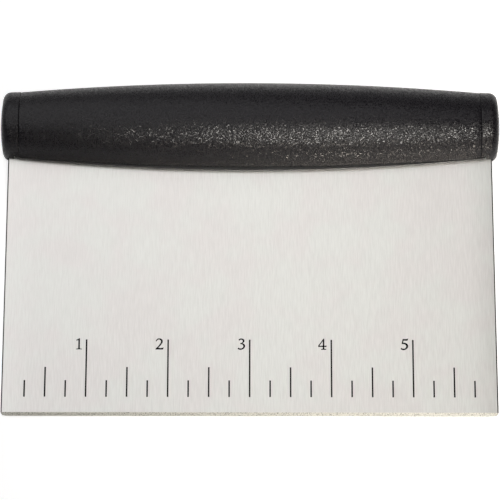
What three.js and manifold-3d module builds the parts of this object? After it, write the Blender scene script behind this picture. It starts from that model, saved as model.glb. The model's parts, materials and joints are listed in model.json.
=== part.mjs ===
// Dough scraper: a stainless blade with an engraved inch ruler, pinned into a soft-grip handle.
// Millimetres, +Z up. The scraper lies on its back, ruler face up, the way it rests on a worktop.
import * as THREE from 'three';
import { mergeVertices, toCreasedNormals } from 'three/addons/utils/BufferGeometryUtils.js';
import Module from 'manifold-3d';

const wasm = await Module();
wasm.setup();

// Driving dimensions
const clearance = 0.3; // between neighbouring pieces

const bladeWidth = 154;
const bladeThickness = 1.2;
const bladeCornerRadius = 1.2; // the two corners of the working edge
const bevelHeight = 0.95; // ground bevel along the working edge, ruler side
const bevelDepth = 0.5;
const tangInset = 7; // how much narrower the tang is than the blade, on each side
const tangRise = 5; // top of the tang above the handle's axis
const shoulderSeat = 2; // how far the blade's shoulders reach up into the end caps

const inch = 25.4;
const rulerInches = 6;
const ticksPerInch = 4;
const inchTick = 18.5;
const halfTick = 9.6;
const quarterTick = 5.35;
const tickWidth = 0.5;
const tickDepth = 0.1;
const tickFoot = 5.85; // from the working edge to the foot of every tick

const axisHeight = 95; // from the working edge to the handle's axis
const handleOverhang = 2.55; // how far the handle reaches past the blade at each end
const gripRadius = 14.55; // half the handle's height at its middle
const gripEndRadius = 11.4; // and at the seams beside the end caps
const ovalRatio = 0.85; // the handle's depth over its height
const sleeveWall = 3;
const capLength = 6.3; // from the seam to the tip of the cap
const capWall = 3.7;
const capEndWall = 2;
const capCornerRadius = 3;
const capDome = 0.8;

const lipThickness = 1.2; // the core's lips that hug the blade below the sleeve
const lipStandMiddle = 0.8; // how far they stand out below the sleeve's lower edge
const lipStandEnd = 0.1;
const lipReach = 1.6; // how far they run past the seam, into the cap's notch
const lipCornerRadius = 1.2;

const pinDiameter = 4;
const pinChamfer = 0.4;
const pinInset = 23.25; // from the seam to the outer pins

// Facets of the round forms
const ringSegments = 48;
const barrelSteps = 16;
const capSteps = 3;
const cornerSteps = 4;
const domeSteps = 4;
const pinSegments = 24;
const creaseAngle = Math.PI / 6;

// What follows from the driving dimensions; heights in the handle count from its axis
const halfBlade = bladeWidth / 2;
const halfThickness = bladeThickness / 2;
const halfTang = halfBlade - tangInset;
const handleLength = bladeWidth + 2 * handleOverhang;
const seam = handleLength / 2 - capLength;
const barrelEnd = seam - clearance / 2;
const capStart = seam + clearance / 2;
const tenonEnd = seam + capLength - capEndWall - clearance;
const tenonRadius = gripEndRadius - capWall - clearance;
const shoulderDrop = barrelRadius(halfBlade) - shoulderSeat;
const slotHalf = halfThickness + clearance;
const lipFace = slotHalf + lipThickness;
const lipGap = lipFace + clearance;
const lipEnd = seam + lipReach;
const lipRoot = tenonRadius / 2;
const wellBelow = 2 * gripRadius; // a cut that starts here opens through the handle's underside
const pinRadius = pinDiameter / 2;
const outerPin = seam - pinInset;
const pinPlaces = { tang_pin_left: -outerPin, tang_pin_middle: 0, tang_pin_right: outerPin };

// Half the handle's height at a place along it: a shallow barrel
function barrelRadius(x) {
  return gripRadius - (gripRadius - gripEndRadius) * (x / seam) ** 2;
}

// How far the sleeve's lower edge, beside the lips, is below the handle's axis
function sleeveEdge(x) {
  const radius = barrelRadius(x);
  return radius * Math.sqrt(1 - (lipGap / (ovalRatio * radius)) ** 2);
}

// How far the lips reach below the handle's axis at a place along it
function lipDepth(x) {
  const stand = lipStandMiddle - (lipStandMiddle - lipStandEnd) * (x / seam) ** 2;
  return sleeveEdge(x) + stand;
}

function coreRadius(x) {
  return barrelRadius(x) - sleeveWall - clearance;
}

function evenSteps(from, to, count) {
  return Array.from({ length: count + 1 }, (_, i) => from + ((to - from) * i) / count);
}

// A closed three.js geometry as a solid that can be joined and cut
function solid(geometry) {
  const bare = geometry.clone();
  bare.deleteAttribute('normal');
  bare.deleteAttribute('uv');
  const merged = mergeVertices(bare);
  const corners = Array.from(merged.index.array);
  const triangles = [];
  for (let i = 0; i < corners.length; i += 3) {
    const [a, b, c] = corners.slice(i, i + 3);
    if (a !== b && b !== c && c !== a) triangles.push(a, b, c);
  }
  const vertProperties = merged.attributes.position.array;
  return new wasm.Manifold(new wasm.Mesh({ numProp: 3, vertProperties, triVerts: new Uint32Array(triangles) }));
}

// A solid as a three.js geometry, smooth on round forms and sharp at edges
function geometryOf(form) {
  const { vertProperties, triVerts } = form.getMesh();
  const geometry = new THREE.BufferGeometry();
  geometry.setAttribute('position', new THREE.BufferAttribute(vertProperties, 3));
  geometry.setIndex(new THREE.BufferAttribute(triVerts, 1));
  return toCreasedNormals(geometry, creaseAngle);
}

// A box between two corners
function block(low, high) {
  const size = high.map((value, i) => value - low[i]);
  const middle = high.map((value, i) => (value + low[i]) / 2);
  return solid(new THREE.BoxGeometry(...size).translate(...middle));
}

// A flat outline in X and Y, given a thickness along Z
function plate(outline, zLow, zHigh) {
  const options = { depth: zHigh - zLow, bevelEnabled: false, curveSegments: cornerSteps };
  return solid(new THREE.ExtrudeGeometry(outline, options).translate(0, 0, zLow));
}

// An oval form turned about the handle's axis, from [x, radius] points that start and end on the axis
function turnedOval(profile) {
  const points = profile.map(([x, radius]) => new THREE.Vector2(radius, x));
  const turned = new THREE.LatheGeometry(points, ringSegments);
  return solid(turned.rotateZ(-Math.PI / 2).scale(1, 1, ovalRatio));
}

// A barrel along the handle whose radius follows a rule
function barrel(radiusAt, from, to) {
  const side = evenSteps(from, to, barrelSteps).map((x) => [x, radiusAt(x)]);
  return turnedOval([[from, 0], ...side, [to, 0]]);
}

// A round bar along Z, for pins and their bores
function bar(radius, length, x) {
  const turned = new THREE.CylinderGeometry(radius, radius, length, pinSegments);
  return solid(turned.rotateX(Math.PI / 2).translate(x, 0, 0));
}

// Blade: the part that shows, up to the handle's underside, and the root that the handle holds
function bladeOutlines() {
  const rootStart = axisHeight - gripRadius - 2 * lipStandMiddle;
  const shoulder = axisHeight - shoulderDrop;
  const tangTop = axisHeight + tangRise;

  const shown = new THREE.Shape();
  shown.moveTo(-halfBlade, rootStart);
  shown.lineTo(-halfBlade, bladeCornerRadius);
  const cornerX = halfBlade - bladeCornerRadius;
  shown.absarc(-cornerX, bladeCornerRadius, bladeCornerRadius, Math.PI, 1.5 * Math.PI);
  shown.absarc(cornerX, bladeCornerRadius, bladeCornerRadius, 1.5 * Math.PI, 2 * Math.PI);
  shown.lineTo(halfBlade, rootStart);
  shown.closePath();

  const root = new THREE.Shape();
  root.moveTo(-halfBlade, rootStart);
  root.lineTo(halfBlade, rootStart);
  root.lineTo(halfBlade, shoulder);
  root.lineTo(halfTang, shoulder);
  root.lineTo(halfTang, tangTop);
  root.lineTo(-halfTang, tangTop);
  root.lineTo(-halfTang, shoulder);
  root.lineTo(-halfBlade, shoulder);
  root.closePath();
  return [shown, root];
}

function bevelCut() {
  const wedge = new THREE.Shape();
  wedge.moveTo(-halfThickness + bevelDepth, 0);
  wedge.lineTo(-halfThickness - bevelDepth, -bevelHeight);
  wedge.lineTo(-halfThickness - bevelDepth, 2 * bevelHeight);
  wedge.closePath();
  const options = { depth: bladeWidth + 2 * clearance, bevelEnabled: false };
  const along = new THREE.ExtrudeGeometry(wedge, options).translate(0, 0, -options.depth / 2);
  return solid(along.rotateY(Math.PI / 2));
}

function tickCut(index) {
  const half = ticksPerInch / 2;
  const onInch = index % ticksPerInch === 0;
  const length = onInch ? inchTick : index % half === 0 ? halfTick : quarterTick;
  const x = (index / ticksPerInch - rulerInches / 2) * inch;
  const low = [x - tickWidth / 2, tickFoot, halfThickness - tickDepth];
  return block(low, [x + tickWidth / 2, tickFoot + length, halfThickness + tickDepth]);
}

function bladeForm() {
  const [shown, root] = bladeOutlines().map((outline) => plate(outline, -halfThickness, halfThickness));
  let form = shown.add(root).subtract(bevelCut());
  for (const x of Object.values(pinPlaces)) {
    form = form.subtract(bar(pinRadius + clearance, 2 * bladeThickness, x).translate([0, axisHeight, 0]));
  }
  for (let index = 1; index < rulerInches * ticksPerInch; index += 1) {
    form = form.subtract(tickCut(index));
  }
  return form;
}

// The room that the blade's root takes in the handle, with its clearance
function rootRoom() {
  const shoulderTop = clearance - shoulderDrop;
  const wide = halfBlade + clearance;
  const narrow = halfTang + clearance;
  const shoulders = block([-wide, -wellBelow, -slotHalf], [wide, shoulderTop, slotHalf]);
  return shoulders.add(block([-narrow, -wellBelow, -slotHalf], [narrow, tangRise + clearance, slotHalf]));
}

// Core: two like halves clamp the tang, and a tenon at each end carries a cap
function lipOutline() {
  const cornerX = lipEnd - lipCornerRadius;
  const cornerY = lipCornerRadius - lipDepth(cornerX);
  const outline = new THREE.Shape();
  outline.moveTo(lipEnd, -lipRoot);
  outline.lineTo(-lipEnd, -lipRoot);
  outline.absarc(-cornerX, cornerY, lipCornerRadius, Math.PI, 1.5 * Math.PI);
  for (const x of evenSteps(-cornerX, cornerX, barrelSteps)) outline.lineTo(x, -lipDepth(x));
  outline.absarc(cornerX, cornerY, lipCornerRadius, 1.5 * Math.PI, 2 * Math.PI);
  outline.closePath();
  return outline;
}

function coreHalfForm() {
  const tenons = turnedOval([[-tenonEnd, 0], [-tenonEnd, tenonRadius], [tenonEnd, tenonRadius], [tenonEnd, 0]]);
  const frontSide = block([-handleLength, -wellBelow, clearance / 2], [handleLength, wellBelow, wellBelow]);
  let form = barrel(coreRadius, -barrelEnd, barrelEnd).add(tenons).intersect(frontSide);
  form = form.add(plate(lipOutline(), slotHalf, lipFace)).subtract(rootRoom());
  for (const x of Object.values(pinPlaces)) {
    form = form.subtract(bar(pinRadius + clearance, 2 * gripRadius, x));
  }
  return form;
}

// Pins through both core halves and the tang, flush with the core where they come out
function pinForm(x) {
  const endRadius = pinRadius - pinChamfer;
  const halfLength = ovalRatio * Math.sqrt(coreRadius(x) ** 2 - endRadius ** 2);
  const points = [
    [0, -halfLength],
    [endRadius, -halfLength],
    [pinRadius, pinChamfer - halfLength],
    [pinRadius, halfLength - pinChamfer],
    [endRadius, halfLength],
    [0, halfLength],
  ].map(([radius, y]) => new THREE.Vector2(radius, y));
  return solid(new THREE.LatheGeometry(points, pinSegments).rotateX(Math.PI / 2));
}

// Sleeve: the soft grip around the core, open below for the lips
function sleeveForm() {
  const bore = barrel((x) => coreRadius(x) + clearance, -seam, seam);
  const slot = block([-handleLength, -wellBelow, -lipGap], [handleLength, 0, lipGap]);
  return barrel(barrelRadius, -barrelEnd, barrelEnd).subtract(bore).subtract(slot);
}

// End cap at +X: a cup on the core's tenon, notched below for the lips and the blade's shoulder
function capForm() {
  const tip = seam + capLength;
  const cornerX = tip - capDome - capCornerRadius;
  const cornerY = barrelRadius(cornerX) - capCornerRadius;
  const side = evenSteps(capStart, cornerX, capSteps).map((x) => [x, barrelRadius(x)]);
  const corner = evenSteps(Math.PI / 2, 0, cornerSteps)
    .slice(1)
    .map((turn) => [cornerX + capCornerRadius * Math.cos(turn), cornerY + capCornerRadius * Math.sin(turn)]);
  const dome = evenSteps(1, 0, domeSteps)
    .slice(1)
    .map((share) => [tip - capDome * share ** 2, cornerY * share]);
  const cup = turnedOval([[capStart, 0], ...side, ...corner, ...dome]);

  const cavityRadius = tenonRadius + clearance;
  const cavityEnd = tenonEnd + clearance;
  const cavity = turnedOval([[0, 0], [0, cavityRadius], [cavityEnd, cavityRadius], [cavityEnd, 0]]);
  const notch = block([0, -wellBelow, -lipGap], [lipEnd + clearance, -lipRoot, lipGap]);
  return cup.subtract(cavity).subtract(notch).subtract(rootRoom());
}

// Finishes
function finish(color, roughness, metalness) {
  return new THREE.MeshStandardMaterial({ color, roughness, metalness });
}

const brushedSteel = () => finish(0xdcdad4, 0.35, 1);
const pinSteel = () => finish(0xb8b8b6, 0.4, 1);
const softGrip = () => finish(0x29282a, 0.75, 0);
const hardPlastic = () => finish(0x242325, 0.6, 0);

function piece(name, form, material) {
  const mesh = new THREE.Mesh(geometryOf(form), material);
  mesh.name = name;
  return mesh;
}

// Handle: its pieces are placed from its axis, and alike pieces are turned end for end
function buildHandle() {
  const handle = new THREE.Group();
  const coreHalf = coreHalfForm();
  const cap = capForm();
  const turned = [
    piece('core_rear_half', coreHalf, hardPlastic()),
    piece('end_cap_left', cap, hardPlastic()),
  ];
  for (const mesh of turned) mesh.rotation.y = Math.PI;
  handle.add(
    piece('grip_sleeve', sleeveForm(), softGrip()),
    piece('core_front_half', coreHalf, hardPlastic()),
    piece('end_cap_right', cap, hardPlastic()),
    ...turned,
  );
  for (const [name, x] of Object.entries(pinPlaces)) {
    const pin = piece(name, pinForm(x), pinSteel());
    pin.position.x = x;
    handle.add(pin);
  }
  handle.position.y = axisHeight;
  return handle;
}

// Lying on its back: the rear corner of the working edge and the back of the handle touch the worktop
function restAngle() {
  const gripDepth = gripRadius * ovalRatio;
  const square = axisHeight ** 2 - gripRadius ** 2;
  const linear = bladeThickness * axisHeight;
  const constant = halfThickness ** 2 - gripDepth ** 2;
  return Math.atan((Math.sqrt(linear ** 2 - 4 * square * constant) - linear) / (2 * square));
}

const scraper = new THREE.Group();
scraper.add(piece('blade', bladeForm(), brushedSteel()), buildHandle());
scraper.rotation.x = restAngle();
const box = new THREE.Box3().setFromObject(scraper, true);
const middle = box.getCenter(new THREE.Vector3());
scraper.position.set(-middle.x, -middle.y, -box.min.z);

const part = new THREE.Group();
part.add(scraper);

export default part;
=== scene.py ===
"""Dough scraper: a brushed blade with an inked inch ruler, a pebbled black grip and moulded end caps.

Pieces are modelled in the tool's own frame, in millimetres: X along the ruler, Y from the working edge
up to the handle, Z out of the ruler face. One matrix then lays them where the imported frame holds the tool.
"""
import json
import logging
import math
from dataclasses import dataclass
from enum import Enum
from typing import Callable

import bmesh
import bpy
from mathutils import Matrix, Vector


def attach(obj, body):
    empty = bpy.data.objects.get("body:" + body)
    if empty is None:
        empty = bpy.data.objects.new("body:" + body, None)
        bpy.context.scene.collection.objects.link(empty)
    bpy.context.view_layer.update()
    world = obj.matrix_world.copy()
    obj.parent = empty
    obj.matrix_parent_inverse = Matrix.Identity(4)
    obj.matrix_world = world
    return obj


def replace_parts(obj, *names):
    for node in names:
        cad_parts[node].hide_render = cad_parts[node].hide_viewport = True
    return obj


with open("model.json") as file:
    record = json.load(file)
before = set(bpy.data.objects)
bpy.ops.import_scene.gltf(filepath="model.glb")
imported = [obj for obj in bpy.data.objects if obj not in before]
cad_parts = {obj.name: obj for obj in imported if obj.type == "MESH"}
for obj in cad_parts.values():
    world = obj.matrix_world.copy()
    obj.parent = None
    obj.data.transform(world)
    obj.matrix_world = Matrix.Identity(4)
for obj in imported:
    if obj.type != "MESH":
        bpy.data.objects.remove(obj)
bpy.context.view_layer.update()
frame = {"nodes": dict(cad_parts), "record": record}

LOG = logging.getLogger("dough_scraper")
MM = 0.001
BODY = "root"

# The angle in degrees above which an edge is sharp, and the steps that round it
SHARP_ANGLE = 40.0
ROUND_STEPS = 3
# What a noise's values mostly lie between
NOISE_SPAN = (0.3, 0.7)
# The share of the pebbles that have no polished top
DULL_PEBBLES = 0.12

Colour = tuple[float, float, float]
Place = tuple[float, float, float]
Point = tuple[float, float]
Material = bpy.types.Material
Mesh = bpy.types.Mesh
Node = bpy.types.Node
Object = bpy.types.Object
Outputs = bpy.types.bpy_prop_collection
Socket = bpy.types.NodeSocket
Tree = bpy.types.NodeTree

WHITE = (1.0, 1.0, 1.0)
# The socket type of each kind of value that a geometry node tree is given
SOCKETS: dict[type, str] = {
    float: "NodeSocketFloat", int: "NodeSocketInt", Material: "NodeSocketMaterial",
}


class Side(Enum):
    """The two ends of the handle, by the sign of X."""

    LEFT = -1
    RIGHT = 1


class Pin(Enum):
    """The tang's pins, by how many spacings they stand to the right of the middle."""

    LEFT = -1
    MIDDLE = 0
    RIGHT = 1


class Half(Enum):
    """The core's halves, before and behind the blade."""

    FRONT = "front"
    REAR = "rear"


class Corner(Enum):
    """How an outline passes a point: with a corner, or smoothly."""

    SHARP = "VECTOR"
    SMOOTH = "AUTO"


Anchor = Point | tuple[float, float, Corner]


# Node wiring


class Wiring:
    """Adds and links nodes in one node tree."""

    def __init__(self, tree: Tree) -> None:
        """Keep the shader or geometry node tree that is being wired."""
        self.tree = tree

    def feed(self, socket: Socket, value: object) -> None:
        """Link a socket to another node's output, or set it to a constant.

        Args:
            socket: The input to feed.
            value: An output socket or a constant. A constant colour has three parts.
        """
        if isinstance(value, Socket):
            self.tree.links.new(value, socket)
        elif socket.type == "RGBA":
            socket.default_value = (*value, 1.0)
        else:
            socket.default_value = value

    def node(self, kind: str, inputs: dict[str, object] | None = None, **settings: object) -> Node:
        """Add a node.

        Args:
            kind: The node's type name.
            inputs: What its inputs are fed, by their names.
            **settings: Properties to set on it.

        Returns:
            The new node.
        """
        made = self.tree.nodes.new(kind)
        for key, value in settings.items():
            setattr(made, key, value)
        for label, value in (inputs or {}).items():
            self.feed(made.inputs[label], value)
        return made

    def result(self, kind: str, inputs: dict[str, object]) -> Socket:
        """Add a node with its inputs by name, and return its first output."""
        return self.node(kind, inputs).outputs[0]

    def fill(self, made: Node, values: tuple[object, ...]) -> Socket:
        """Feed a node's inputs in their order.

        Args:
            made: The node.
            values: What its first inputs are fed.

        Returns:
            The node's first output.
        """
        for socket, value in zip(made.inputs, values):
            self.feed(socket, value)
        return made.outputs[0]

    def math(self, operation: str, *values: object) -> Socket:
        """Return what a Math node makes of sockets and numbers."""
        return self.fill(self.node("ShaderNodeMath", operation=operation), values)

    def vector(self, operation: str, *values: object) -> Socket:
        """Return what a Vector Math node makes of sockets and vectors."""
        return self.fill(self.node("ShaderNodeVectorMath", operation=operation), values)

    def combine(self, *parts: object) -> Socket:
        """Return the vector with these parts along X, Y and Z."""
        return self.fill(self.node("ShaderNodeCombineXYZ"), parts)

    def split(self, vector: Socket) -> Outputs:
        """Return a vector's parts along X, Y and Z."""
        return self.node("ShaderNodeSeparateXYZ", {"Vector": vector}).outputs

    def turn(self, vector: Socket, angle: float) -> Socket:
        """Return coordinates turned about X by an angle in radians."""
        return self.result("ShaderNodeMapping", {"Vector": vector, "Rotation": (angle, 0.0, 0.0)})

    def remap(self, value: Socket, span: Point, onto: Point = (0.0, 1.0)) -> Socket:
        """Return a value with one range of it mapped onto another, clamped."""
        return self.fill(self.node("ShaderNodeMapRange"), (value, *span, *onto))

    def blend(self, first: Socket, second: Socket, share: float) -> Socket:
        """Return a sum of two values, in which the first weighs a share and the second the rest."""
        rest = self.math("MULTIPLY", second, 1.0 - share)
        return self.math("ADD", self.math("MULTIPLY", first, share), rest)

    def noise(self, vector: Socket, scale: float, detail: float, rough: float) -> Socket:
        """Return a noise, by its scale, its octaves and how much the finer ones weigh."""
        inputs = {"Vector": vector, "Scale": scale, "Detail": detail, "Roughness": rough}
        return self.result("ShaderNodeTexNoise", inputs)

    def mix(self, factor: object, first: object, second: object, blend: str = "MIX") -> Socket:
        """Mix two colours.

        Args:
            factor: Share of the second colour.
            first: The first colour.
            second: The second colour.
            blend: The blend type.

        Returns:
            The mixed colour.
        """
        made = self.node("ShaderNodeMix", {"Factor": factor}, data_type="RGBA", blend_type=blend)
        # The node has sockets of the same names for each type of data: these are the colours'
        self.feed(made.inputs[6], first)
        self.feed(made.inputs[7], second)
        return made.outputs[2]


def node_group(kind: str, name: str, inputs: dict[str, str], outputs: dict[str, str]) -> Tree:
    """Start a node group.

    Args:
        kind: The type name of its tree.
        name: Its name.
        inputs: The names of its inputs, with their type.
        outputs: The names of its outputs, with their type.

    Returns:
        The empty group with its sockets.
    """
    group = bpy.data.node_groups.new(name, kind)
    for sockets, way in ((inputs, "INPUT"), (outputs, "OUTPUT")):
        for label, socket_type in sockets.items():
            group.interface.new_socket(label, in_out=way, socket_type=socket_type)
    return group


def brush_group() -> Tree:
    """Build the group that draws brush lines along Y.

    Returns:
        A group that puts out a line value and a broad cloud value.
    """
    floats = "NodeSocketFloat"
    inputs = {"Vector": "NodeSocketVector", "Line Width": floats, "Line Length": floats}
    group = node_group("ShaderNodeTree", "brush lines", inputs, {"Lines": floats, "Clouds": floats})
    wire = Wiring(group)
    given = wire.node("NodeGroupInput").outputs
    across = wire.math("DIVIDE", 1.0, given["Line Width"])
    along = wire.math("DIVIDE", 1.0, given["Line Length"])
    placed = wire.vector("MULTIPLY", given["Vector"], wire.combine(across, along, along))
    lines = wire.noise(placed, scale=1.0, detail=3.0, rough=0.6)
    clouds = wire.noise(given["Vector"], scale=80.0, detail=3.0, rough=0.5)
    wire.node("NodeGroupOutput", {"Lines": lines, "Clouds": clouds})
    return group


def pebble_group() -> Tree:
    """Build the moulded pebble grain, in which each pebble has a flat top that leans its own way.

    Returns:
        A group that puts out the normal of the tops, a mask of the polished ones and the dust between them.
    """
    floats, vectors = "NodeSocketFloat", "NodeSocketVector"
    inputs = {"Vector": vectors, "Pebble": floats, "Top": floats, "Lean": floats}
    outputs = {"Normal": vectors, "Polish": floats, "Dust": floats}
    group = node_group("ShaderNodeTree", "pebble grain", inputs, outputs)
    wire = Wiring(group)
    given = wire.node("NodeGroupInput").outputs
    scale = wire.math("DIVIDE", 1.0, given["Pebble"])
    cells = wire.node("ShaderNodeTexVoronoi", {"Vector": given["Vector"], "Scale": scale}).outputs
    picked = wire.math("GREATER_THAN", wire.split(cells["Color"])[1], DULL_PEBBLES)
    top = wire.math("LESS_THAN", cells["Distance"], given["Top"])
    side = wire.vector("SUBTRACT", cells["Color"], (0.5, 0.5, 0.5))
    level = wire.node("ShaderNodeNewGeometry").outputs["Normal"]
    leaning = wire.vector("ADD", level, wire.vector("MULTIPLY", side, given["Lean"]))
    puts_out = {
        "Normal": wire.vector("NORMALIZE", leaning),
        "Polish": wire.math("MULTIPLY", picked, top),
        "Dust": cells["Distance"],
    }
    wire.node("NodeGroupOutput", puts_out)
    return group


BRUSH = brush_group()
PEBBLE = pebble_group()


# Finishes


class Paint(Wiring):
    """Wires one new material, with its Principled shader and object coordinates at hand."""

    def __init__(self, name: str) -> None:
        """Start the material.

        Args:
            name: The material's name.
        """
        self.material = bpy.data.materials.new(name)
        self.material.use_nodes = True
        super().__init__(self.material.node_tree)
        self.shader = self.tree.nodes["Principled BSDF"]
        self.where = self.node("ShaderNodeTexCoord").outputs["Object"]

    def set(self, socket: str, value: object) -> None:
        """Feed one of the shader's inputs."""
        self.feed(self.shader.inputs[socket], value)

    def effect(self, group: Tree, inputs: dict[str, object]) -> Outputs:
        """Place a shared effect in the material, and return what it puts out."""
        return self.node("ShaderNodeGroup", inputs, node_tree=group).outputs

    def brush(self, where: Socket, width: float, length: float) -> Outputs:
        """Return the values of brush lines of a width and length, in metres."""
        return self.effect(BRUSH, {"Vector": where, "Line Width": width, "Line Length": length})

    def mask(self, attribute: str) -> Socket:
        """Return a mask that the piece's mesh holds."""
        return self.node("ShaderNodeAttribute", attribute_name=attribute).outputs["Fac"]

    def bump(self, height: Socket) -> None:
        """Let a height, in metres, shape the shader's normal."""
        inputs = {"Strength": 1.0, "Distance": 1.0, "Height": height}
        self.set("Normal", self.result("ShaderNodeBump", inputs))


@dataclass(frozen=True)
class BrushedSteel:
    """Stainless sheet brushed along its height, with a ground edge and near-black sides that are painted
    shade. Metres.
    """

    tilt: float
    name: str = "brushed_steel"
    light: Colour = (0.815, 0.808, 0.784)
    dark: Colour = (0.748, 0.739, 0.714)
    rosy: Colour = (1.0, 0.985, 0.985)
    green: Colour = (0.985, 1.0, 0.987)
    # Painted shade: near-black on the blade's sides, so that its outline reads as a dark line
    side_shade: Colour = (0.05, 0.05, 0.05)
    ground: Colour = (0.78, 0.77, 0.715)
    ground_dark: Colour = (0.33, 0.32, 0.285)
    line_width: float = 0.0003
    line_length: float = 0.0045
    line_depth: float = 0.000002
    line_share: float = 0.8
    tone_span: Point = (0.38, 0.62)
    tint_span: Point = (0.4, 0.6)
    grit_scale: float = 2600.0
    grit_span: Point = (0.35, 0.5)
    rough: Point = (0.36, 0.44)
    ground_rough: float = 0.35
    roll_off: Point = (0.068, 0.077)
    roll_drop: float = 0.0002

    def build(self) -> Material:
        """Wire the steel's colour, gloss and relief.

        Returns:
            The material.
        """
        paint = Paint(self.name)
        placed = paint.turn(paint.where, -self.tilt)
        brush = paint.brush(placed, self.line_width, self.line_length)
        lines, clouds = brush["Lines"], brush["Clouds"]
        grit = paint.noise(paint.where, self.grit_scale, detail=3.0, rough=0.7)
        ground = paint.mask("ground")

        tone = paint.remap(paint.blend(lines, clouds, self.line_share), self.tone_span)
        steel = paint.mix(tone, self.dark, self.light)
        tint = paint.mix(paint.remap(clouds, self.tint_span), self.rosy, self.green)
        face = paint.mix(1.0, steel, tint, "MULTIPLY")
        edge = paint.mix(paint.remap(grit, self.grit_span), self.ground_dark, self.ground)
        faces = paint.mix(ground, face, edge)
        # The sides get the near-black painted shade in place of the steel's colour
        paint.set("Base Color", paint.mix(paint.mask("side_shade"), faces, self.side_shade))
        paint.set("Metallic", 1.0)
        rough = paint.remap(lines, NOISE_SPAN, self.rough)
        paint.set("Roughness", paint.math("ADD", rough, paint.math("MULTIPLY", ground, self.ground_rough)))

        relief = paint.math("ADD", lines, paint.math("MULTIPLY", ground, grit))
        fall = paint.remap(paint.math("ABSOLUTE", paint.split(placed)[0]), self.roll_off)
        rolled = paint.math("MULTIPLY", paint.math("MULTIPLY", fall, fall), self.roll_drop)
        paint.bump(paint.math("SUBTRACT", paint.math("MULTIPLY", relief, self.line_depth), rolled))
        return paint.material


@dataclass(frozen=True)
class RulerInk:
    """Dark fill in the ruler's engraved lines and numerals, thinned by wear in places."""

    name: str = "ruler_ink"
    fresh: Colour = (0.004, 0.004, 0.004)
    worn: Colour = (0.04, 0.038, 0.035)
    wear_scale: float = 140.0
    wear_share: float = 0.75
    grit_scale: float = 1500.0
    worn_span: Point = (0.55, 0.75)
    rough: Point = (0.6, 0.85)
    gloss: float = 0.1

    def build(self) -> Material:
        """Wire the ink's colour and gloss.

        Returns:
            The material.
        """
        paint = Paint(self.name)
        wear = paint.noise(paint.where, self.wear_scale, detail=3.0, rough=0.6)
        grit = paint.noise(paint.where, self.grit_scale, detail=2.0, rough=0.6)
        thinned = paint.remap(paint.blend(wear, grit, self.wear_share), self.worn_span)
        paint.set("Base Color", paint.mix(thinned, self.fresh, self.worn))
        paint.set("Roughness", paint.remap(grit, NOISE_SPAN, self.rough))
        paint.set("Specular IOR Level", self.gloss)
        return paint.material


@dataclass(frozen=True)
class Pebbled:
    """Black moulded rubber or plastic with a fine pebble grain. Metres."""

    name: str
    gloss: float
    base: Colour = (0.002, 0.0012, 0.003)
    dusty: Colour = (0.006, 0.005, 0.007)
    dull: float = 0.47
    shiny: float = 0.19
    pebble: float = 0.00034
    top: float = 0.48
    lean: float = 0.22

    def build(self) -> Material:
        """Wire the grain's colour, gloss and leaning tops.

        Returns:
            The material.
        """
        paint = Paint(self.name)
        inputs = {"Vector": paint.where, "Pebble": self.pebble, "Top": self.top, "Lean": self.lean}
        grain = paint.effect(PEBBLE, inputs)
        paint.set("Base Color", paint.mix(grain["Dust"], self.base, self.dusty))
        paint.set("Roughness", paint.remap(grain["Polish"], (0.0, 1.0), (self.dull, self.shiny)))
        paint.set("Specular IOR Level", self.gloss)
        paint.set("Normal", grain["Normal"])
        return paint.material


@dataclass(frozen=True)
class TurnedSteel:
    """Plain turned steel of the tang pins, with lines along the pin. Metres."""

    name: str = "turned_steel"
    colour: Colour = (0.5, 0.5, 0.49)
    shade: Colour = (0.42, 0.42, 0.41)
    line_width: float = 0.0002
    line_length: float = 0.004
    rough: Point = (0.3, 0.45)

    def build(self) -> Material:
        """Wire the pins' colour and gloss.

        Returns:
            The material.
        """
        paint = Paint(self.name)
        lines = paint.brush(paint.where, self.line_width, self.line_length)["Lines"]
        paint.set("Base Color", paint.mix(lines, self.colour, self.shade))
        paint.set("Metallic", 1.0)
        paint.set("Roughness", paint.remap(lines, NOISE_SPAN, self.rough))
        return paint.material


# Mesh helpers


def scene_object(name: str, data: bpy.types.ID) -> Object:
    """Link a mesh, curve, lamp or camera to the scene as an object at the origin.

    Args:
        name: The object's name.
        data: Its data.

    Returns:
        The object.
    """
    made = bpy.data.objects.new(name, data)
    bpy.context.scene.collection.objects.link(made)
    return made


def from_bmesh(name: str, form: bmesh.types.BMesh) -> Object:
    """Turn a bmesh into an object, with its faces pointing out.

    Args:
        name: The object's name.
        form: The bmesh, which is freed.

    Returns:
        The object.
    """
    bmesh.ops.recalc_face_normals(form, faces=form.faces)
    mesh = bpy.data.meshes.new(name)
    form.to_mesh(mesh)
    form.free()
    return scene_object(name, mesh)


def settle(raw: Object) -> Mesh:
    """Bake an object's modifiers into a plain mesh, and drop the object.

    Args:
        raw: The object with its modifiers.

    Returns:
        The plain mesh.
    """
    graph = bpy.context.evaluated_depsgraph_get()
    shaped = raw.evaluated_get(graph)
    mesh = bpy.data.meshes.new_from_object(shaped, preserve_all_data_layers=True, depsgraph=graph)
    bpy.data.objects.remove(raw)
    return mesh


def smooth(mesh: Mesh) -> None:
    """Shade a mesh smooth, with its sharp edges kept."""
    mesh.polygons.foreach_set("use_smooth", [True] * len(mesh.polygons))
    mesh.set_sharp_from_angle(angle=math.radians(SHARP_ANGLE))


def rounded(raw: Object, width: float) -> Mesh:
    """Round an object's sharp edges, shade it smooth, and drop the object.

    Args:
        raw: The object with its modifiers.
        width: The rounding's width, in the object's own units.

    Returns:
        The plain mesh.
    """
    rounding = raw.modifiers.new("rounding", "BEVEL")
    rounding.width = width
    rounding.segments = ROUND_STEPS
    rounding.limit_method = "ANGLE"
    rounding.angle_limit = math.radians(SHARP_ANGLE)
    mesh = settle(raw)
    smooth(mesh)
    return mesh


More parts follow.
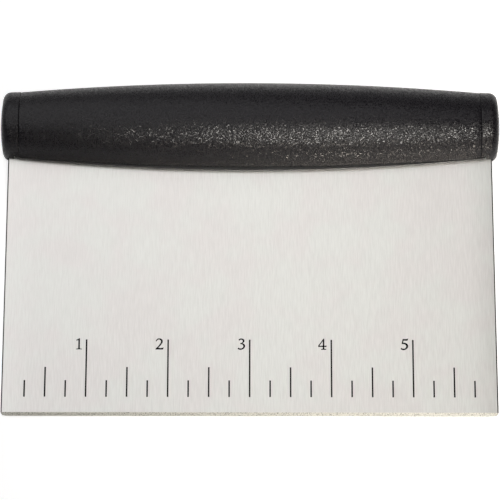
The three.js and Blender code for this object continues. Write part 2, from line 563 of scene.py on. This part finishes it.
def cut(raw: Object, cutters: list[Object]) -> Mesh:
    """Cut objects out of another, and drop them all.

    Args:
        raw: The object to cut.
        cutters: The objects that are cut out of it.

    Returns:
        The plain mesh with the cuts in it.
    """
    for cutter in cutters:
        boolean = raw.modifiers.new("cut", "BOOLEAN")
        boolean.operation = "DIFFERENCE"
        boolean.solver = "EXACT"
        boolean.object = cutter
    mesh = settle(raw)
    for cutter in cutters:
        bpy.data.objects.remove(cutter)
    return mesh


def arc(centre: Point, radius: float, start: float, end: float, steps: int) -> list[Point]:
    """Work out points along an arc.

    Args:
        centre: Its centre.
        radius: Its radius.
        start: The angle it starts at, in radians.
        end: The angle it ends at, in radians.
        steps: The steps from start to end.

    Returns:
        The points, with both ends.
    """
    points = []
    for step in range(steps + 1):
        turn = start + (end - start) * step / steps
        points.append((centre[0] + radius * math.cos(turn), centre[1] + radius * math.sin(turn)))
    return points


def grow(name: str, values: dict[str, object], draw: Callable[[Wiring, Outputs], Socket]) -> Object:
    """Make an object whose mesh a geometry node tree builds.

    Args:
        name: The object's name, and the tree's.
        values: The tree's inputs by name. The one named Material is set on what the tree builds.
        draw: Wires what the tree builds from its inputs.

    Returns:
        The object, with the tree as its first modifier.
    """
    inputs = {label: SOCKETS[type(value)] for label, value in values.items()}
    tree = node_group("GeometryNodeTree", name, inputs, {"Geometry": "NodeSocketGeometry"})
    wire = Wiring(tree)
    given = wire.node("NodeGroupInput").outputs
    real = wire.result("GeometryNodeRealizeInstances", {"Geometry": draw(wire, given)})
    painted = wire.result("GeometryNodeSetMaterial", {"Geometry": real, "Material": given["Material"]})
    wire.node("NodeGroupOutput", {"Geometry": painted})
    made = scene_object(name, bpy.data.meshes.new(name))
    modifier = made.modifiers.new(tree.name, "NODES")
    modifier.node_group = tree
    for item in tree.interface.items_tree:
        if item.in_out == "INPUT":
            modifier[item.identifier] = values[item.name]
    return made


@dataclass
class Lay:
    """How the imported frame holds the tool: its tilt and the place of its working edge."""

    edge_inset: float

    def __post_init__(self) -> None:
        """Read the frame's mounts and work out the matrix from tool millimetres to the frame."""
        mounts = {mount["name"]: mount for mount in frame["record"]["mounts"]}
        back = Vector(mounts["back_face"]["axis"])
        self.tilt = math.atan2(back.y, -back.z)
        turn = Matrix.Rotation(self.tilt, 4, "X")
        inset = turn @ Vector((0.0, 0.0, self.edge_inset * MM))
        place = Vector(mounts["working_edge"]["pos_m"]) + inset
        self.matrix = Matrix.Translation(place) @ turn @ Matrix.Scale(MM, 4)

    def point(self, x: float, y: float, z: float) -> Vector:
        """Return a tool point, in millimetres, as a place in the frame."""
        return self.matrix @ Vector((x, y, z))

    def put(self, name: str, mesh: Mesh, material: Material, slot: str) -> Object:
        """Lay a finished piece in the frame.

        Args:
            name: The piece's name.
            mesh: Its mesh in tool millimetres.
            material: Its material.
            slot: The record's material slot that it stands for.

        Returns:
            The piece, riding on the tool's body.
        """
        mesh.transform(self.matrix)
        mesh.name = name
        return finish_piece(scene_object(name, mesh), material, slot)


def finish_piece(piece: Object, material: Material, slot: str) -> Object:
    """Dress a piece, let it ride on the tool's body, and report it.

    Args:
        piece: The piece, at the origin.
        material: Its material.
        slot: The record's material slot.

    Returns:
        The same piece.
    """
    piece.data.materials.clear()
    piece.data.materials.append(material)
    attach(piece, BODY)
    LOG.info("%s: %d faces, slot %s", piece.name, len(piece.data.polygons), slot)
    return piece


# Numeral outlines: contours of points on a grid ten units tall, with corners where they aren't smooth

SMOOTH = Corner.SMOOTH
NUMERALS: dict[int, list[list[Anchor]]] = {
    1: [[
        (0.2, 0.0), (5.2, 0.0), (5.1, 0.5), (3.7, 0.8, SMOOTH), (3.4, 1.6), (3.4, 10.0), (2.9, 10.0),
        (0.2, 8.5), (0.5, 7.9), (2.1, 8.4), (2.1, 1.6), (1.7, 0.8, SMOOTH), (0.3, 0.5),
    ]],
    2: [[
        (0.4, 7.5), (1.3, 9.2, SMOOTH), (3.3, 10.0, SMOOTH), (5.6, 9.2, SMOOTH), (6.4, 7.3, SMOOTH),
        (5.4, 4.9, SMOOTH), (2.5, 1.4), (5.6, 1.3, SMOOTH), (7.1, 1.9), (6.8, 0.0), (0.2, 0.0),
        (0.2, 0.6), (3.4, 4.0, SMOOTH), (4.9, 7.1, SMOOTH), (4.3, 8.5, SMOOTH), (3.1, 9.0, SMOOTH),
        (1.9, 8.6, SMOOTH), (1.0, 7.3),
    ]],
    3: [[
        (0.8, 9.0), (1.9, 9.8, SMOOTH), (3.3, 10.0, SMOOTH), (5.2, 9.3, SMOOTH), (5.8, 7.9, SMOOTH),
        (5.2, 6.5, SMOOTH), (4.0, 5.7), (5.8, 4.8, SMOOTH), (6.4, 3.2, SMOOTH), (5.5, 1.2, SMOOTH),
        (3.4, 0.0, SMOOTH), (1.6, -0.1, SMOOTH), (0.0, 0.7), (0.5, 1.7), (2.4, 1.0, SMOOTH),
        (4.2, 1.5, SMOOTH), (4.9, 3.0, SMOOTH), (4.1, 4.6, SMOOTH), (2.2, 5.1), (2.2, 5.7),
        (3.8, 6.3, SMOOTH), (4.4, 7.6, SMOOTH), (3.9, 8.7, SMOOTH), (2.8, 9.0, SMOOTH), (1.3, 8.1),
    ]],
    4: [
        [
            (5.4, 10.0), (5.4, 3.6), (7.5, 3.6), (7.2, 2.6), (5.4, 2.6), (5.4, 1.0), (7.0, 0.6),
            (7.0, 0.0), (2.7, 0.0), (2.7, 0.6), (4.2, 1.0), (4.2, 2.6), (0.1, 2.6), (0.0, 3.3),
            (4.8, 10.0),
        ],
        [(4.2, 3.6), (4.2, 7.9), (1.2, 3.6)],
    ],
    5: [[
        (1.9, 9.8), (5.2, 9.8, SMOOTH), (6.6, 10.2), (5.9, 8.4), (2.5, 8.4), (2.1, 6.5),
        (4.4, 6.2, SMOOTH), (6.0, 5.0, SMOOTH), (6.5, 3.4, SMOOTH), (5.6, 1.3, SMOOTH),
        (3.5, 0.0, SMOOTH), (1.6, -0.1, SMOOTH), (0.0, 0.7), (0.5, 1.7), (2.4, 1.0, SMOOTH),
        (4.2, 1.6, SMOOTH), (4.9, 3.2, SMOOTH), (4.2, 4.7, SMOOTH), (2.6, 5.3, SMOOTH), (0.9, 5.4),
    ]],
}


# Sub-assemblies


@dataclass
class Ruler:
    """The inch ruler along the working edge, engraved and filled with dark ink. Millimetres."""

    inch: float = 25.4
    inches: int = 6
    ticks_per_inch: int = 4
    inch_tick: float = 18.5
    half_tick: float = 9.6
    quarter_tick: float = 5.35
    tick_width: float = 0.5
    tick_foot: float = 5.85
    depth: float = 0.1
    ink_sunk: float = 0.015
    wall_gap: float = 0.01
    numeral_height: float = 3.58
    numeral_gap: float = 1.45
    numeral_top: float = 24.7
    numeral_grid: float = 10.0
    numeral_weight: float = 0.03
    numeral_steps: int = 6
    weld: float = 1e-4

    @staticmethod
    def draw_ticks(wire: Wiring, given: Outputs) -> Socket:
        """Wire the nodes that repeat the ticks along the ruler.

        Args:
            wire: The wiring of their tree.
            given: The tree's inputs.

        Returns:
            The ticks, as instances.
        """
        total = wire.math("MULTIPLY", given["Inches"], given["Ticks per Inch"])
        step = wire.math("DIVIDE", given["Pitch"], given["Ticks per Inch"])
        number = wire.math("ADD", wire.node("GeometryNodeInputIndex").outputs[0], 1.0)
        half = wire.math("DIVIDE", given["Ticks per Inch"], 2.0)
        on_half = wire.math("LESS_THAN", wire.math("MODULO", number, half), 0.5)
        on_inch = wire.math("LESS_THAN", wire.math("MODULO", number, given["Ticks per Inch"]), 0.5)
        quarter_tick, half_tick = given["Quarter Tick"], given["Half Tick"]
        longer = wire.math("MULTIPLY", on_half, wire.math("SUBTRACT", half_tick, quarter_tick))
        longest = wire.math("MULTIPLY", on_inch, wire.math("SUBTRACT", given["Inch Tick"], half_tick))
        length = wire.math("ADD", quarter_tick, wire.math("ADD", longer, longest))

        x = wire.math("MULTIPLY", step, wire.math("SUBTRACT", number, wire.math("DIVIDE", total, 2.0)))
        y = wire.math("ADD", given["Foot"], wire.math("DIVIDE", length, 2.0))
        z = wire.math("DIVIDE", wire.math("ADD", given["Low"], given["High"]), 2.0)
        row = wire.result("GeometryNodeMeshLine", {"Count": wire.math("SUBTRACT", total, 1.0)})
        places = {"Geometry": row, "Position": wire.combine(x, y, z)}
        height = wire.math("SUBTRACT", given["High"], given["Low"])
        tick = {
            "Points": wire.result("GeometryNodeSetPosition", places),
            "Instance": wire.result("GeometryNodeMeshCube", {}),
            "Scale": wire.combine(given["Width"], length, height),
        }
        return wire.result("GeometryNodeInstanceOnPoints", tick)

    def ticks(self, low: float, high: float, gap: float, ink: Material) -> Object:
        """Make the row of ticks.

        Args:
            low: Their lowest Z.
            high: Their highest Z.
            gap: How much narrower and shorter they are on each side.
            ink: Their material.

        Returns:
            The ticks in tool millimetres.
        """
        values = {
            "Pitch": self.inch, "Inches": self.inches, "Ticks per Inch": self.ticks_per_inch,
            "Width": self.tick_width - 2 * gap, "Foot": self.tick_foot + gap,
            "Inch Tick": self.inch_tick - 2 * gap, "Half Tick": self.half_tick - 2 * gap,
            "Quarter Tick": self.quarter_tick - 2 * gap, "Low": low, "High": high, "Material": ink,
        }
        return grow("ruler_ticks", values, self.draw_ticks)

    def numerals(self, low: float, high: float) -> Object:
        """Make the numerals beside the inch ticks.

        Args:
            low: Their lowest Z.
            high: Their highest Z.

        Returns:
            The numerals in tool millimetres.
        """
        curve = bpy.data.curves.new("numerals", "CURVE")
        curve.dimensions = "2D"
        curve.fill_mode = "BOTH"
        curve.extrude = (high - low) / 2
        curve.resolution_u = self.numeral_steps
        curve.offset = self.numeral_weight
        scale = self.numeral_height / self.numeral_grid
        for digit, contours in NUMERALS.items():
            reach = max(anchor[0] for contour in contours for anchor in contour)
            right = (digit - self.inches / 2) * self.inch - self.numeral_gap
            for contour in contours:
                spline = curve.splines.new("BEZIER")
                spline.use_cyclic_u = True
                spline.bezier_points.add(len(contour) - 1)
                for point, (x, y, *mark) in zip(spline.bezier_points, contour):
                    corner = mark[0] if mark else Corner.SHARP
                    rise = self.numeral_top - self.numeral_height + y * scale
                    point.co = (right + (x - reach) * scale, rise, 0.0)
                    point.handle_left_type = corner.value
                    point.handle_right_type = corner.value
        form = bmesh.new()
        form.from_mesh(settle(scene_object("numerals", curve)))
        bmesh.ops.remove_doubles(form, verts=form.verts, dist=self.weld)
        bmesh.ops.translate(form, verts=form.verts, vec=(0.0, 0.0, (low + high) / 2))
        return from_bmesh("ruler_numerals", form)


@dataclass
class Blade:
    """The steel sheet: what shows, its shoulders and the tang in the handle. Millimetres."""

    ruler: Ruler
    width: float = 154.0
    thickness: float = 1.2
    corner_radius: float = 1.2
    corner_steps: int = 8
    bevel_height: float = 0.95
    bevel_depth: float = 0.5
    bevel_facing: float = -0.3
    rolled_edge: float = 0.4
    shoulder: float = 85.93
    tang_width: float = 140.0
    tang_top: float = 100.0
    pin_height: float = 95.0
    pin_spacing: float = 50.0
    pin_hole: float = 4.6
    hole_steps: int = 48
    nearness: float = 1e-3

    def outline(self) -> list[Point]:
        """Work out the sheet's outline.

        Returns:
            Its points, counter-clockwise from the lower left corner.
        """
        half = self.width / 2
        tang = self.tang_width / 2
        round_off = self.corner_radius
        left = arc((round_off - half, round_off), round_off, math.pi, 1.5 * math.pi, self.corner_steps)
        right = arc((half - round_off, round_off), round_off, 1.5 * math.pi, 2 * math.pi, self.corner_steps)
        top = [(half, self.shoulder), (tang, self.shoulder), (tang, self.tang_top)]
        return left + right + top + [(-x, y) for x, y in reversed(top)]

    def sheet(self) -> Object:
        """Make the plain sheet with its ground bevel and rolled side edges.

        Returns:
            The sheet in tool millimetres.
        """
        form = bmesh.new()
        half = self.thickness / 2
        base = form.faces.new([form.verts.new((x, y, -half)) for x, y in self.outline()])
        raised = bmesh.ops.extrude_face_region(form, geom=[base])
        corners = [item for item in raised["geom"] if isinstance(item, bmesh.types.BMVert)]
        bmesh.ops.translate(form, verts=corners, vec=(0.0, 0.0, self.thickness))
        sides = [edge for edge in form.edges if self.on_side(edge)]
        bmesh.ops.bevel(
            form, geom=sides, offset=self.rolled_edge, segments=ROUND_STEPS, profile=0.5, affect="EDGES"
        )
        parts = form.verts[:] + form.edges[:] + form.faces[:]
        slope = Vector((0.0, -self.bevel_depth, self.bevel_height))
        ridge = (0.0, 0.0, half - self.bevel_depth)
        sliced = bmesh.ops.bisect_plane(form, geom=parts, plane_co=ridge, plane_no=slope, clear_outer=True)
        rim = [item for item in sliced["geom_cut"] if isinstance(item, bmesh.types.BMEdge)]
        bmesh.ops.contextual_create(form, geom=rim)
        return from_bmesh("blade", form)

    def pin_holes(self) -> Object:
        """Make the round cutters for the pins' holes in the tang.

        Returns:
            The cutters in tool millimetres, as one object.
        """
        form = bmesh.new()
        radius = self.pin_hole / 2
        for pin in Pin:
            place = Matrix.Translation((pin.value * self.pin_spacing, self.pin_height, 0.0))
            bmesh.ops.create_cone(
                form, cap_ends=True, segments=self.hole_steps, radius1=radius, radius2=radius,
                depth=4 * self.thickness, matrix=place,
            )
        return from_bmesh("pin_holes", form)

    def on_side(self, edge: bmesh.types.BMEdge) -> bool:
        """Tell whether an edge runs up a side of the blade or round its lower corner, on either face.

        Args:
            edge: An edge of the plain sheet.

        Returns:
            Whether it does.
        """
        first, second = (vert.co for vert in edge.verts)
        on_face = abs(first.z - second.z) < self.nearness
        at_side = min(abs(first.x), abs(second.x)) > self.width / 2 - self.corner_radius - self.nearness
        return on_face and at_side and first.x * second.x > 0

    def mark_edges(self, mesh: Mesh) -> None:
        """Mark the sides that get painted shade and the ground bevel, for the steel's material.

        Args:
            mesh: The blade's mesh in tool millimetres.
        """
        side_shade = mesh.attributes.new("side_shade", "FLOAT", "FACE")
        ground = mesh.attributes.new("ground", "FLOAT", "FACE")
        side = self.width / 2 - self.rolled_edge
        for index, face in enumerate(mesh.polygons):
            low_face = face.center.y < self.bevel_height and face.normal.y < self.bevel_facing
            ground.data[index].value = float(low_face)
            # Side faces that are not on the ground bevel get the painted shade
            side_shade.data[index].value = float(abs(face.center.x) > side and not low_face)

    def build(self, lay: Lay, steel: Material, ink: Material) -> None:
        """Make the blade with its engraved ruler, and the ink in the engraving.

        Args:
            lay: How the tool lies.
            steel: The blade's material.
            ink: The ruler's material.
        """
        ruler = self.ruler
        face = self.thickness / 2
        floor = face - ruler.depth
        above = face + ruler.depth
        grooves = scene_object("groove_cut", settle(ruler.ticks(floor, above, 0.0, ink)))
        blade = cut(self.sheet(), [grooves, ruler.numerals(floor, above), self.pin_holes()])
        self.mark_edges(blade)
        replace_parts(lay.put("blade_sheet", blade, steel, "blade_steel"), "blade")
        top = face - ruler.ink_sunk
        ticks = settle(ruler.ticks(floor, top, ruler.wall_gap, ink))
        lay.put("ruler_ticks", ticks, ink, "ruler_marks")
        lay.put("ruler_numerals", settle(ruler.numerals(floor, top)), ink, "ruler_marks")


@dataclass
class Handle:
    """The barrel-shaped handle: soft sleeve, end caps, core and pins. Millimetres and degrees."""

    blade: Blade
    overhang: float = 2.55
    middle_radius: float = 14.54
    end_radius: float = 11.4
    oval_ratio: float = 0.85
    clearance: float = 0.3
    sleeve_wall: float = 3.0
    steps_along: int = 73
    steps_around: int = 193
    cap_length: float = 6.3
    cap_wall: float = 3.7
    cap_end_wall: float = 2.0
    cap_corner: float = 2.5
    cap_proud: float = 0.1
    cap_flat: float = 0.04
    cap_dome: float = 0.8
    cap_taper: float = 0.03
    cap_steps_around: int = 128
    cap_rim_steps: int = 4
    cap_side_steps: int = 8
    cap_end_steps: int = 12
    lip_thickness: float = 1.2
    lip_reach: float = 1.6
    core_flat_angle: float = 0.5
    core_weld: float = 0.001
    edge_round: float = 0.2
    seam_gap: float = 0.05

    def __post_init__(self) -> None:
        """Work out what follows from the sizes."""
        self.axis_height = self.blade.pin_height
        self.seam = self.blade.width / 2 + self.overhang - self.cap_length
        self.slot_half = self.blade.thickness / 2 + self.clearance
        self.lip_gap = self.slot_half + self.lip_thickness + self.clearance
        self.tenon_radius = self.end_radius - self.cap_wall - self.clearance

    def cap_radius(self, x: float) -> float:
        """Return half an end cap's height at a place along the handle."""
        return self.end_radius + self.cap_proud - self.cap_taper * (x - self.seam)

    @staticmethod
    def draw_barrel(wire: Wiring, given: Outputs) -> Socket:
        """Wire the nodes that bend a grid round the handle, open along its underside.

        Args:
            wire: The wiring of their tree.
            given: The tree's inputs.

        Returns:
            The barrel's outer face.
        """
        x, y, _ = wire.split(wire.node("GeometryNodeInputPosition").outputs[0])
        along = wire.math("POWER", wire.math("DIVIDE", x, given["Seam"]), 2.0)
        crown = wire.math("SUBTRACT", given["Middle Radius"], given["End Radius"])
        radius = wire.math("SUBTRACT", given["Middle Radius"], wire.math("MULTIPLY", crown, along))
        depth = wire.math("MULTIPLY", radius, given["Oval Ratio"])
        start = wire.math("ARCSINE", wire.math("DIVIDE", given["Slot Half"], depth))
        sweep = wire.math("SUBTRACT", 2 * math.pi, wire.math("MULTIPLY", start, 2.0))
        turn = wire.math("ADD", start, wire.math("MULTIPLY", wire.math("ADD", y, 0.5), sweep))
        drop = wire.math("MULTIPLY", radius, wire.math("COSINE", turn))
        rise = wire.math("SUBTRACT", given["Axis Height"], drop)
        bent = wire.combine(x, rise, wire.math("MULTIPLY", depth, wire.math("SINE", turn)))
        flat = {
            "Size X": given["Length"], "Size Y": 1.0,
            "Vertices X": given["Steps Along"], "Vertices Y": given["Steps Around"],
        }
        barrel = {"Geometry": wire.result("GeometryNodeMeshGrid", flat), "Position": bent}
        return wire.result("GeometryNodeSetPosition", barrel)

    def build_sleeve(self, lay: Lay, rubber: Material) -> None:
        """Make the soft sleeve.

        Args:
            lay: How the tool lies.
            rubber: Its material.
        """
        values = {
            "Length": 2 * self.seam - self.seam_gap, "Seam": self.seam, "Middle Radius": self.middle_radius,
            "End Radius": self.end_radius, "Oval Ratio": self.oval_ratio, "Slot Half": self.lip_gap,
            "Axis Height": self.axis_height, "Steps Along": self.steps_along,
            "Steps Around": self.steps_around, "Material": rubber,
        }
        sleeve = grow("grip", values, self.draw_barrel)
        wall = sleeve.modifiers.new("wall", "SOLIDIFY")
        wall.thickness = self.sleeve_wall
        wall.offset = -1.0
        wall.use_even_offset = True
        grip = rounded(sleeve, self.edge_round)
        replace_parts(lay.put("grip", grip, rubber, "grip_rubber"), "grip_sleeve")

    def cap_profile(self) -> list[Point]:
        """Work out the profile that an end cap is turned from.

        Returns:
            Points of (x, radius), from the cavity's floor round to the tip.
        """
        start = self.seam + self.seam_gap / 2
        tip = self.seam + self.cap_length
        cavity_end = tip - self.cap_end_wall
        cavity = self.tenon_radius + self.clearance
        rim = start + self.edge_round
        rim_radius = self.cap_radius(rim) - self.edge_round
        corner = tip - self.cap_dome - self.cap_corner
        corner_radius = self.cap_radius(corner) - self.cap_corner
        points = [(cavity_end, 0.0), (cavity_end, cavity), (start, cavity)]
        points += arc((rim, rim_radius), self.edge_round, math.pi, math.pi / 2, self.cap_rim_steps)
        for step in range(1, self.cap_side_steps + 1):
            x = rim + (corner - rim) * step / self.cap_side_steps
            points.append((x, self.cap_radius(x)))
        points += arc((corner, corner_radius), self.cap_corner, math.pi / 2, 0.0, self.cap_end_steps)[1:]
        for step in range(1, self.cap_end_steps + 1):
            share = 1 - step / self.cap_end_steps
            points.append((tip - self.cap_dome * share ** 2, corner_radius * share))
        return points

    def turned(self, profile: list[Point]) -> Object:
        """Turn a profile about the handle's axis into an oval form, a little flatter below the axis.

        Args:
            profile: Points of (x, radius) that start and end on the axis.

        Returns:
            The form in tool millimetres.
        """
        form = bmesh.new()
        rings = []
        for x, radius in profile:
            count = self.cap_steps_around if radius > 0.0 else 1
            ring = []
            for step in range(count):
                turn = 2 * math.pi * step / self.cap_steps_around
                rise = math.cos(turn)
                y = self.axis_height + radius * (rise if rise > 0.0 else rise * (1 - self.cap_flat))
                ring.append(form.verts.new((x, y, radius * self.oval_ratio * math.sin(turn))))
            rings.append(ring)
        for first, second in zip(rings, rings[1:]):
            for step in range(self.cap_steps_around):
                around = ((first, step), (first, step + 1), (second, step + 1), (second, step))
                corners = [ring[place % len(ring)] for ring, place in around]
                form.faces.new(list(dict.fromkeys(corners)))
        return from_bmesh("end_cap", form)

    def notch(self, end: float, top: float, half: float) -> Object:
        """Make a box to cut out of a cap's underside.

        Args:
            end: How far it reaches along the handle.
            top: How high it reaches.
            half: How far it reaches to both sides of the blade's middle.

        Returns:
            The box in tool millimetres.
        """
        low = Vector((0.0, self.axis_height - 2 * self.middle_radius, -half))
        high = Vector((end, top, half))
        size = Matrix.Diagonal((*(high - low), 1.0))
        form = bmesh.new()
        bmesh.ops.create_cube(form, size=1.0, matrix=Matrix.Translation((low + high) / 2) @ size)
        return from_bmesh("notch", form)

    def build_caps(self, lay: Lay, plastic: Material) -> None:
        """Make both end caps, notched below for the lips and the blade's shoulders.

        Args:
            lay: How the tool lies.
            plastic: Their material.
        """
        lip_end = self.seam + self.lip_reach + self.clearance
        lip_top = self.axis_height - self.tenon_radius / 2
        shoulder_end = self.blade.width / 2 + self.clearance
        shoulder_top = self.blade.shoulder + self.clearance
        for side in Side:
            lip_cut = self.notch(lip_end, lip_top, self.lip_gap)
            shoulder_cut = self.notch(shoulder_end, shoulder_top, self.slot_half)
            cap = cut(self.turned(self.cap_profile()), [lip_cut, shoulder_cut])
            if side is Side.LEFT:
                cap.transform(Matrix.Rotation(math.pi, 4, "Y"))
            smooth(cap)
            piece = lay.put(f"cap_{side.name.lower()}", cap, plastic, "cap_plastic")
            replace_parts(piece, f"end_cap_{side.name.lower()}")

    def build_core(self, plastic: Material) -> None:
        """Dress the core halves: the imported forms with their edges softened.

        Args:
            plastic: Their material.
        """
        for half in Half:
            node = f"core_{half.value}_half"
            name = f"core_{half.value}"
            form = bmesh.new()
            form.from_mesh(frame["nodes"][node].data)
            bmesh.ops.remove_doubles(form, verts=form.verts, dist=self.core_weld * MM)
            flat = math.radians(self.core_flat_angle)
            bmesh.ops.dissolve_limit(form, angle_limit=flat, verts=form.verts, edges=form.edges)
            mesh = rounded(from_bmesh(name, form), self.edge_round * MM)
            piece = finish_piece(scene_object(name, mesh), plastic, "core_plastic")
            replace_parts(piece, node)

    def dress_pins(self, steel: Material) -> None:
        """Give the tang pins, which keep their packed form, their material.

        Args:
            steel: Their material.
        """
        for place in Pin:
            pin = frame["nodes"][f"tang_pin_{place.name.lower()}"]
            pin.data.materials.clear()
            pin.data.materials.append(steel)
            LOG.info("%s: packed form, dressed", pin.name)


# Studio


@dataclass(frozen=True)
class Lamp:
    """A soft rectangular lamp. Metres, watts and degrees."""

    name: str
    place: Place
    size: Point
    power: float
    colour: Colour
    spread: float = 180.0

    def hang(self, aim: Vector) -> None:
        """Hang the lamp so that it faces a place.

        Args:
            aim: The place, in metres.
        """
        data = bpy.data.lights.new(self.name, "AREA")
        data.shape = "RECTANGLE"
        data.size, data.size_y = self.size
        data.energy = self.power
        data.color = self.colour
        data.spread = math.radians(self.spread)
        lamp = scene_object(self.name, data)
        lamp.location = self.place
        lamp.rotation_euler = (aim - Vector(self.place)).to_track_quat("-Z", "Y").to_euler()


@dataclass(frozen=True)
class Strip:
    """A narrow gridded lamp that leans to the front over the handle. Degrees, metres and watts."""

    lean: float
    shift: float
    length: float
    power: float
    colour: Colour


OVERHEAD = Lamp("overhead", (-0.45, 0.46, 1.2), (1.65, 1.5), 9.15, (1.0, 0.99, 1.0))
BACK = Lamp("back", (0.1, 1.3, 0.6), (1.6, 0.6), 0.3, (1.0, 0.98, 1.0))
WARM, WARMER = (1.0, 0.96, 0.9), (1.0, 0.9, 0.78)
STRIPS = (
    Strip(10.0, 0.09, 0.42, 0.009, WARM),
    Strip(23.0, 0.09, 0.44, 0.074, WARM),
    Strip(40.0, 0.09, 0.52, 0.09, WARM),
    Strip(56.0, 0.09, 0.42, 0.024, WARMER),
    Strip(87.0, 0.27, 0.3, 0.042, WARMER),
)


@dataclass
class Studio:
    """Floor, lamps, world and camera. Aims and middles are millimetres on the tool, lamps are in metres."""

    lay: Lay
    view_tilt: float = 18.0
    distance: float = 870.0
    aim: Place = (0.035, 53.71, 0.6)
    roll: float = 0.106
    lens: float = 198.97
    sensor: float = 36.0
    clip: Point = (0.05, 20.0)
    floor_reach: float = 3.0
    floor_white: float = 0.9
    floor_rough: float = 0.9
    floor_gloss: float = 0.1
    floor_seen: float = 0.55
    floor_mirrored: float = 0.4
    strip_middle: Place = (55.0, 95.0, 10.0)
    strip_aim: Place = (42.0, 135.0, 10.0)
    strip_distance: float = 1.35
    strip_width: float = 0.11
    strip_spread: float = 14.0
    horizon: Point = (0.1, 0.5)
    glow: Point = (0.55, 0.05)

    def build_camera(self) -> None:
        """Make the camera at the photograph's viewing angle."""
        tilt = math.radians(self.view_tilt)
        turn = self.lay.matrix.to_quaternion()
        back = turn @ Vector((0.0, -math.sin(tilt), math.cos(tilt)))
        up = turn @ Vector((0.0, math.cos(tilt), math.sin(tilt)))
        facing = Matrix((up.cross(back), up, back)).transposed().to_4x4()
        data = bpy.data.cameras.new("camera")
        data.lens = self.lens
        data.sensor_width = self.sensor
        data.clip_start, data.clip_end = self.clip
        camera = scene_object("camera", data)
        rolled = facing @ Matrix.Rotation(math.radians(self.roll), 4, "Z")
        target = self.lay.point(*self.aim)
        camera.matrix_world = Matrix.Translation(target + back * self.distance * MM) @ rolled
        bpy.context.scene.camera = camera

    def build_floor(self) -> None:
        """Make the pale floor, white to the camera and keeping the tool's shadow."""
        form = bmesh.new()
        bmesh.ops.create_grid(form, x_segments=1, y_segments=1, size=self.floor_reach)
        floor = from_bmesh("floor", form)
        paint = Paint("floor")
        paint.set("Base Color", (self.floor_white,) * 3)
        paint.set("Roughness", self.floor_rough)
        paint.set("Specular IOR Level", self.floor_gloss)
        paint.set("Emission Color", WHITE)
        path = paint.node("ShaderNodeLightPath").outputs
        seen = paint.math("MULTIPLY", path["Is Camera Ray"], self.floor_seen)
        mirrored = paint.math("MULTIPLY", path["Is Glossy Ray"], self.floor_mirrored)
        paint.set("Emission Strength", paint.math("MAXIMUM", seen, mirrored))
        floor.data.materials.append(paint.material)

    def build_lights(self) -> None:
        """Light the tool as a plain soft studio does.

        One large box hangs overhead and a weak one behind, gridded strips stand at the front right, and the
        world is lighter near the horizon.
        """
        OVERHEAD.hang(Vector())
        BACK.hang(Vector())
        middle = self.lay.point(*self.strip_middle)
        aim = self.lay.point(*self.strip_aim)
        for strip in STRIPS:
            turn = math.radians(strip.lean)
            reach = self.strip_distance
            arm = Vector((strip.shift, -reach * math.sin(turn), reach * math.cos(turn)))
            size = (self.strip_width, strip.length)
            name = f"strip_{strip.lean:.0f}"
            Lamp(name, tuple(middle + arm), size, strip.power, strip.colour, self.strip_spread).hang(aim)
        world = bpy.data.worlds.new("studio")
        world.use_nodes = True
        wire = Wiring(world.node_tree)
        sky = world.node_tree.nodes["Background"]
        wire.feed(sky.inputs["Color"], WHITE)
        height = wire.split(wire.node("ShaderNodeTexCoord").outputs["Generated"])[2]
        wire.feed(sky.inputs["Strength"], wire.remap(height, self.horizon, self.glow))
        bpy.context.scene.world = world
        bpy.context.scene.view_settings.view_transform = "Standard"


def main() -> None:
    """Build the tool and its studio, in order."""
    logging.basicConfig(level=logging.INFO, format="%(name)s: %(message)s")
    blade = Blade(Ruler())
    handle = Handle(blade)
    lay = Lay(edge_inset=blade.bevel_depth / 2)
    core = Pebbled(
        "core_plastic", gloss=0.42, base=(0.004, 0.004, 0.004), dusty=(0.012, 0.012, 0.012),
        dull=0.45, shiny=0.35, pebble=0.0005, top=0.5, lean=0.1,
    )
    blade.build(lay, BrushedSteel(tilt=lay.tilt).build(), RulerInk().build())
    handle.build_sleeve(lay, Pebbled("grip_rubber", gloss=0.34).build())
    handle.build_caps(lay, Pebbled("cap_plastic", gloss=0.33).build())
    handle.build_core(core.build())
    handle.dress_pins(TurnedSteel().build())
    studio = Studio(lay)
    studio.build_camera()
    studio.build_floor()
    studio.build_lights()


if __name__ == "__main__":
    main()
